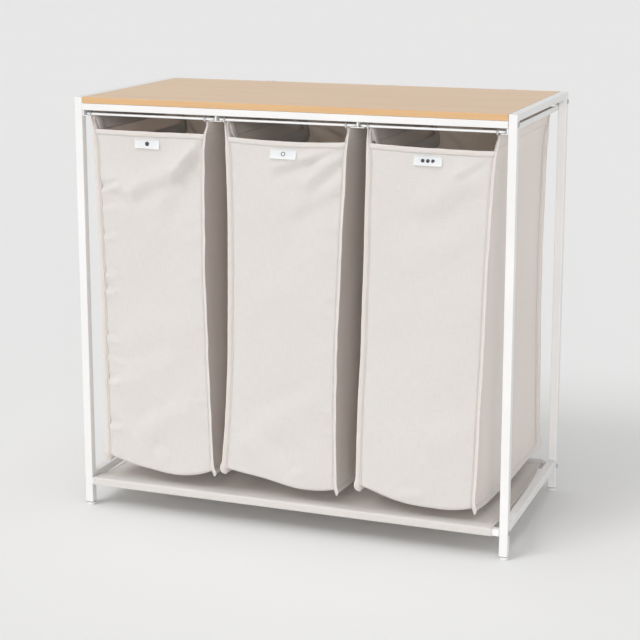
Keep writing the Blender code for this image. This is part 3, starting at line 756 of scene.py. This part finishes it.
def seam_route(bag, side):
    """Nominal seam line of one side, from rod level at the front to rod level at the back.

    Also gives the direction in which the raised seam stands out, and its width.
    """
    half = bag.panel_y
    r = FLOOR_ROUND
    top = bag.rod_z - 0.0045
    low_x = side * bag.side_x(SEAM_Z)
    turn = np.linspace(0, math.pi / 2, 9)[:-1]
    # On the left the seam stands out sideways; on the right it also leans to the front.
    forward = np.array((-0.93, -0.37, 0.0) if side < 0 else (0.80, -0.60, 0.0))
    down = np.array((side * 0.30, 0.0, -0.95))
    backward = np.array((side * 0.72, 0.69, 0.0))
    points, out = [], []
    for z in np.linspace(top, SEAM_Z + r, 150)[:-1]:
        points.append((side * bag.side_x(z), -half, z))
        out.append(forward)
    for angle in turn:
        points.append((low_x, -half + r - r * math.cos(angle), SEAM_Z + r - r * math.sin(angle)))
        out.append(forward * math.cos(angle) + down * math.sin(angle))
    for y in np.linspace(-half + r, half - r, 102)[:-1]:
        points.append((low_x, y, SEAM_Z))
        out.append(down)
    for angle in turn:
        points.append((low_x, half - r + r * math.sin(angle), SEAM_Z + r - r * math.cos(angle)))
        out.append(down * math.cos(angle) + backward * math.sin(angle))
    for z in np.linspace(SEAM_Z + r, top, 150):
        points.append((side * bag.side_x(z), half, z))
        out.append(backward)
    points = np.array(points)
    out = unit(np.array(out))
    ear = smoothstep((points[:, 2] - bag.neck_z + 0.004) / 0.022)
    ripple = wander(points, 70.0, bag.look["seed"] + side)
    room = (bag.half_x - np.abs(points[:, 0])) / 0.93
    width = np.minimum(FLANGE * (1 - 0.66 * ear), room + 0.0006) + 0.0004 * ripple
    near_y = np.abs(np.abs(points[:, 1]) - half) / 0.009
    near_z = np.abs(points[:, 2] - SEAM_Z) / 0.009
    width += CORNER_POINT * np.exp(-near_y ** 2 - near_z ** 2)
    return points, out, width


def build_seams(bag, side_name, side):
    """Raised, folded seam round a side panel, with a row of stitches on both its faces."""
    nominal, out, width = seam_route(bag, side)
    out[:, 1] += 0.16 * wander(nominal, 28.0, bag.look["seed"] + 3 * side)
    path = bag.hang(nominal)
    across = bag.hang(nominal + out * 0.002) - path
    name = f"{bag.name}_bag_{side_name}_seam"
    band_object(name, path, across, -0.0012, width, FLANGE_THICK, CANVAS, bag.body)
    direction, normal = frames_along(path, across)
    line = path + direction * (width * 0.22)[:, None]
    return [line + normal * face * (FLANGE_THICK / 2 + 0.00005) for face in (-1, 1)]


def neck_line(bag, end, count=60):
    """World points along a front or back panel's upper edge, and the panel's way down."""
    across = np.linspace(0.0, 1.0, count)
    found = []
    for z in (bag.neck_z, bag.neck_z - 0.004):
        level = np.full(count, z)
        y = np.full(count, end * bag.panel_y)
        x = (2 * across - 1) * (bag.side_x(level) - 0.0006)
        y = y + end * panel_height(bag, across, y, level)
        found.append(bag.hang(np.stack([x, y, level], 1)))
    return found[0], found[1] - found[0]


def build_neck_hem(bag, end_name, end):
    """Folded hem along a panel's upper edge."""
    path, down = neck_line(bag, end)
    name = f"{bag.name}_bag_{end_name}_hem"
    band_object(name, path, down, -0.0010, 0.0094, 0.0030, CANVAS, bag.body)
    direction, normal = frames_along(path, down)
    return [path + direction * 0.0082 + normal * face * 0.00155 for face in (-1, 1)]


def side_hem_stitches(bag, side):
    """Stitches that close a side panel's double hem, seen on both faces."""
    half = bag.half_y - 0.004
    y = np.linspace(-half, half, 90)
    z = np.full_like(y, bag.rod_z - HEM_DEPTH + 0.0015)
    rows = []
    for offset in (CLOTH * 0.62, -HEM_GAP - CLOTH * 0.62):
        x = side * (bag.side_x(z) + offset)
        rows.append(bag.hang(np.stack([x, y, z], 1)))
    return rows


# ---- labels

def dot_ring(centre, right, up, out, radius, inner, sides=28):
    """Flat embroidered disc or ring, as vertices and faces."""
    vertices, faces = [], []
    for k in range(sides):
        angle = 2 * math.pi * k / sides
        ray = right * math.cos(angle) + up * math.sin(angle)
        for reach, lift in ((inner, 0.0), (inner, 0.00025), (radius, 0.00025), (radius, 0.0)):
            vertices.append(centre + ray * reach + out * lift)
    for k in range(sides):
        n = (k + 1) % sides
        for a in range(4):
            b = (a + 1) % 4
            faces.append((k * 4 + a, k * 4 + b, n * 4 + b, n * 4 + a))
    return vertices, faces


# Marks of each label: shift from its middle, outer radius and inner radius of each dot or ring.
LABEL_MARKS = {
    "left": ((0.0, 0.0042, 0.0002),),
    "middle": ((0.0, 0.0042, 0.0030),),
    "right": ((-0.0095, 0.0034, 0.0002), (0.0, 0.0034, 0.0002), (0.0095, 0.0034, 0.0002)),
}


def build_label(bag):
    """Woven label, sewn along its upper edge, with a generic mark of dots; gives its stitches."""
    low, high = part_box(f"{bag.name}_label")
    width, height = high.x - low.x, high.z - low.z
    columns, rows = 23, 13
    grid_x, grid_z = np.meshgrid(np.linspace(0, 1, columns), np.linspace(0, 1, rows))
    x = low.x + width * grid_x - bag.x
    z = high.z - height * grid_z - 0.0010
    across = (x / bag.side_x(z) + 1) / 2
    base = front_surface(bag, across.ravel(), z.ravel()).reshape((rows, columns, 3))
    curl = 0.0012 + 0.0024 * grid_z ** 1.6 + 0.0010 * grid_z * (2 * grid_x - 1) ** 2
    points = base.copy()
    points[..., 1] -= curl
    uv = np.stack([grid_x * width, grid_z * height], 2)
    piece = sheet_object(f"{bag.name}_tag", points, uv, TAG, bag.body, 0.0006)
    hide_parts(f"{bag.name}_label")
    middle = points[rows // 2, columns // 2]
    right = points[rows // 2, -1] - points[rows // 2, 0]
    right /= np.linalg.norm(right)
    up = points[2, columns // 2] - points[-3, columns // 2]
    up /= np.linalg.norm(up)
    out = np.cross(right, up)
    if out[1] > 0:
        out = -out
    vertices, faces = [], []
    for shift, radius, inner in LABEL_MARKS[bag.name]:
        centre = middle + right * shift + out * 0.00035
        some, more = dot_ring(centre, right, up, out, radius, inner)
        faces += [tuple(i + len(vertices) for i in face) for face in more]
        vertices += some
    mesh = bpy.data.meshes.new(f"{bag.name}_tag_mark")
    mesh.from_pydata([tuple(v) for v in vertices], [], faces)
    new_object(f"{bag.name}_tag_mark", mesh, INK, bag.body)
    top = points[1].copy()
    top[:, 1] -= 0.0004
    return [top[1:-1]]


# ---- handles

def handle_outline(span, bottom):
    """Middle line of a handle's U laid flat: y, and the depth below its hinge."""
    turn = np.linspace(0, math.pi / 2, 10)[:-1]
    start = bottom - BAND_BEND
    inner = span - BAND_BEND
    flat = [(-span, depth) for depth in np.linspace(0.0, start, 10)[:-1]]
    flat += [(-inner - BAND_BEND * math.cos(angle), start + BAND_BEND * math.sin(angle))
             for angle in turn]
    flat += [(y, bottom) for y in np.linspace(-inner, inner, 46)[:-1]]
    flat += [(inner + BAND_BEND * math.sin(angle), start + BAND_BEND * math.cos(angle))
             for angle in turn]
    flat += [(span, depth) for depth in np.linspace(start, 0.0, 10)]
    return np.array(flat)


def build_handle(bag, side_name, side):
    """Webbing handle that hangs inside the bag, and the two sewn ends it folds down from."""
    body = f"{bag.name}_bag_{side_name}_strap"
    joint = next(j for j in frame["joints"] if j["child"] == body)
    low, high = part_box(f"{bag.name}_bag_{side_name}_handle")
    hinge_x, _, hinge_z = joint["pos_m"]
    tilt = math.atan2(abs((low.x if side > 0 else high.x) - hinge_x), hinge_z - low.z)
    drop = (hinge_z - low.z) / math.cos(tilt)
    span = (high.y - low.y) / 2 - BAND_WIDTH / 2
    flat = handle_outline(span, drop - BAND_WIDTH / 2)
    wave = wander(np.stack([flat[:, 0] * 2, flat[:, 1], np.full(len(flat), side)], 1), 9.0,
                  bag.look["seed"])
    depth = flat[:, 1]
    off = 0.0025 * wave * smoothstep(depth / 0.03)
    inward = -side
    path = np.stack([hinge_x + inward * depth * math.sin(tilt) + off,
                     flat[:, 0], hinge_z - depth * math.cos(tilt)], 1)
    tangent = np.gradient(path, axis=0)
    face = np.array((inward * math.cos(tilt), 0.0, math.sin(tilt)))
    across = np.cross(tangent, face)
    name = f"{bag.name}_{side_name}_handle_webbing"
    piece = band_object(name, path, across, -BAND_WIDTH / 2, BAND_WIDTH / 2, BAND_THICK, WEBBING,
                        body)
    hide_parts(f"{bag.name}_bag_{side_name}_handle")
    direction, normal = frames_along(path, across)
    rows = []
    for edge in (-1, 1):
        for surface in (-1, 1):
            rows.append(path + direction * edge * (BAND_WIDTH / 2 - 0.0026)
                        + normal * surface * 0.00095)
    stitch_object(f"{bag.name}_{side_name}_handle_stitches", rows, body)

    boxes = []
    for end_name, end in ENDS:
        name = f"{bag.name}_{side_name}_handle_end_{end_name}"
        boxes += build_handle_end(name, bag, side, end * span, hinge_x, hinge_z)
    return boxes


def build_handle_end(name, bag, side, y, hinge_x, hinge_z):
    """End of a handle, sewn to the side panel's hem; gives the box and cross of its stitches."""
    base_z = bag.rod_z - HEM_DEPTH + 0.004
    levels = np.linspace(base_z, hinge_z - 0.0004, 9)
    wall = bag.side_x(levels) - 0.0038
    near = abs(hinge_x - bag.x) + 0.0002
    blend = smoothstep((levels - (hinge_z - 0.010)) / 0.0096)
    x = side * (wall * (1 - blend) + near * blend)
    y = np.full_like(levels, y)
    hung = bag.hang(np.stack([x, y, levels], 1))
    at_hinge = np.stack([x + bag.x, y, levels], 1)
    points = hung * (1 - blend[:, None]) + at_hinge * blend[:, None]
    across = np.broadcast_to(np.array((0.0, 1.0, 0.0)), points.shape)
    band_object(name, points, across, -BAND_WIDTH / 2, BAND_WIDTH / 2, BAND_THICK, WEBBING,
                bag.body)
    edge = BAND_WIDTH / 2 - 0.003
    low = points[0] + (side * -0.00105, 0, 0.003)
    high = points[5] + (side * -0.00105, 0, 0)
    corners = [low + (0, -edge, 0), low + (0, edge, 0), high + (0, edge, 0),
               high + (0, -edge, 0)]
    return [np.linspace(corners[one], corners[two], 12)
            for one, two in ((0, 1), (1, 2), (2, 3), (3, 0), (0, 2), (1, 3))]


def build_bag(name):
    """All the cloth of one bag, with the stitches of its body gathered in one object."""
    bag = Bag(name)
    build_strip(bag)
    rows = []
    for side_name, side in SIDES:
        build_side(bag, side_name, side)
        rows += build_seams(bag, side_name, side)
        rows += side_hem_stitches(bag, side)
        rows += build_handle(bag, side_name, side)
    for end_name, end in ENDS:
        rows += build_neck_hem(bag, end_name, end)
    rows += build_label(bag)
    stitch_object(f"{name}_bag_stitches", rows, bag.body)


# ---- sling shelf

def sling_section(tube_y, tube_low, tube_high):
    """Side view of the sling cloth: round the front tube, across with a sag, round the back.

    Gives the y and z of its points, and how many of them lie round each tube.
    """
    air = 0.0011
    corner = 0.0028
    half = (tube_high - tube_low) / 2 + air
    middle = (tube_high + tube_low) / 2
    top = middle + half
    join_y = tube_y - half - SLING_JOIN
    wrap = [(join_y, top - 0.0030), (tube_y - half - 0.004, middle + half * 0.35)]
    for cy, cz, start in ((-1, -1, math.pi), (1, -1, 1.5 * math.pi), (1, 1, 0.0)):
        for angle in np.linspace(0, math.pi / 2, 6):
            wrap.append((tube_y + cy * (half - corner) + corner * math.cos(start + angle),
                         middle + cz * (half - corner) + corner * math.sin(start + angle)))
    front = [(-y, z) for y, z in wrap]
    reach = join_y + 0.006
    sag = []
    for y in np.linspace(-reach, reach, 46):
        share = 1 - (y / reach) ** 2
        sag.append((y, top - 0.0004 - 0.0075 * share))
    return np.array(front + sag + wrap[::-1]), len(wrap)


def build_sling():
    """Sling shelf: one cloth with slight waves, dropping a little at its two free ends."""
    low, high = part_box("sling_shelf")
    tube_low, tube_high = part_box("bottom_back_tube")
    tube_y = (tube_low.y + tube_high.y) / 2
    section, wrapped = sling_section(tube_y, tube_low.z, tube_high.z)
    columns = 130
    x = np.linspace(low.x, high.x, columns)
    shape = (len(section), columns)
    y = np.broadcast_to(section[:, 0:1], shape).copy()
    z = np.broadcast_to(section[:, 1:2], shape).copy()
    grid_x = np.broadcast_to(x, shape).copy()
    points = np.stack([grid_x.ravel(), y.ravel(), z.ravel() * 0], 1)
    waves = wander(points * (1.0, 0.5, 1.0), 14.0, 71.0).reshape(shape)
    ripples = wander(points * (1.6, 0.3, 1.0), 42.0, 75.0).reshape(shape)
    free = smoothstep((tube_y - SLING_JOIN - np.abs(y)) / 0.05)
    z += free * (0.0022 * waves + 0.0009 * ripples)
    out = np.sign(y) * (np.abs(y) > tube_y)
    y += (1 - free) * out * 0.0007 * np.abs(ripples)
    ends = smoothstep((np.minimum(grid_x - low.x, high.x - grid_x)) / 0.03)
    z -= free * (1 - ends) * 0.0030
    length = length_along(section)
    uv = np.stack([grid_x, np.broadcast_to(length[:, None], shape)], 2)
    world = np.stack([grid_x, y, z], 2)
    piece = sheet_object("sling_cloth", world, uv, CANVAS, "frame",
                         SLING_CLOTH)
    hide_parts("sling_shelf")
    stitch_lift = 0.00055
    rows = []
    for row in (wrapped + 1, len(section) - wrapped - 2):
        for lift in (stitch_lift, -stitch_lift):
            line = world[row].copy()
            line[:, 2] += lift
            rows.append(line[1:-1])
    for column in (1, columns - 2):
        line = world[wrapped:-wrapped, column].copy()
        line[:, 2] += stitch_lift
        rows.append(line)
    stitch_object("sling_stitches", rows, "frame")


# ---- light, floor and camera

def add_floor():
    mesh = bpy.data.meshes.new("floor")
    reach = 60.0
    mesh.from_pydata([(-reach, -reach, 0), (reach, -reach, 0), (reach, reach, 0),
                      (-reach, reach, 0)], [], [(0, 1, 2, 3)])
    mesh.materials.append(floor_material())
    floor = bpy.data.objects.new("floor", mesh)
    bpy.context.scene.collection.objects.link(floor)


def add_lights():
    """Bright surroundings, a soft key from the front left, a low fill and a wide top light."""
    world = bpy.data.worlds.new("studio")
    world.use_nodes = True
    tree = world.node_tree
    background = tree.nodes["Background"]
    direction = node(tree, "TexCoord").outputs["Generated"]
    height = node(tree, "SeparateXYZ", (("Vector", direction),)).outputs["Z"]
    # As bright as the floor round the horizon, so that no edge shows, and dimmer above.
    strength = remapped(tree, height, 0.28, 0.60, 0.82, 0.35)
    connect(tree, background, (("Color", rgba((0.985, 0.992, 1.0))), ("Strength", strength)))
    bpy.context.scene.world = world
    # name, compass angle to the right of the front, height angle, strength, softness
    for name, turn, rise, energy, angle in (("key", -34.0, 46.0, 0.86, 24.0),
                                            ("fill", 20.0, 11.0, 1.05, 24.0),
                                            ("top", -20.0, 80.0, 0.84, 55.0)):
        light = bpy.data.lights.new(name, "SUN")
        light.energy = energy
        light.angle = math.radians(angle)
        lamp = bpy.data.objects.new(name, light)
        bpy.context.scene.collection.objects.link(lamp)
        turn, rise = math.radians(turn), math.radians(rise)
        toward = Vector((math.sin(turn) * math.cos(rise), -math.cos(turn) * math.cos(rise),
                         math.sin(rise)))
        lamp.location = toward * 4
        lamp.rotation_euler = toward.to_track_quat("Z", "Y").to_euler()


def add_camera():
    """Camera at the photograph's viewing angle, fitted to the corners of the frame."""
    pitch_down, turn = 0.1999, 0.3552
    data = bpy.data.cameras.new("camera")
    data.sensor_width = 36.0
    data.lens = 92.8
    data.shift_y = -0.10
    data.clip_end = 200.0
    camera = bpy.data.objects.new("camera", data)
    bpy.context.scene.collection.objects.link(camera)
    camera.location = (1.0897, -2.9642, 1.1334)
    camera.rotation_euler = (math.pi / 2 - pitch_down, 0.0, turn)
    bpy.context.scene.camera = camera


add_camera()
add_lights()
add_floor()
paint_cad_nodes()
for bag_name in BAG_NAMES:
    build_bag(bag_name)
build_sling()
bpy.context.scene.view_settings.view_transform = "Standard"

bpy.context.view_layer.update()
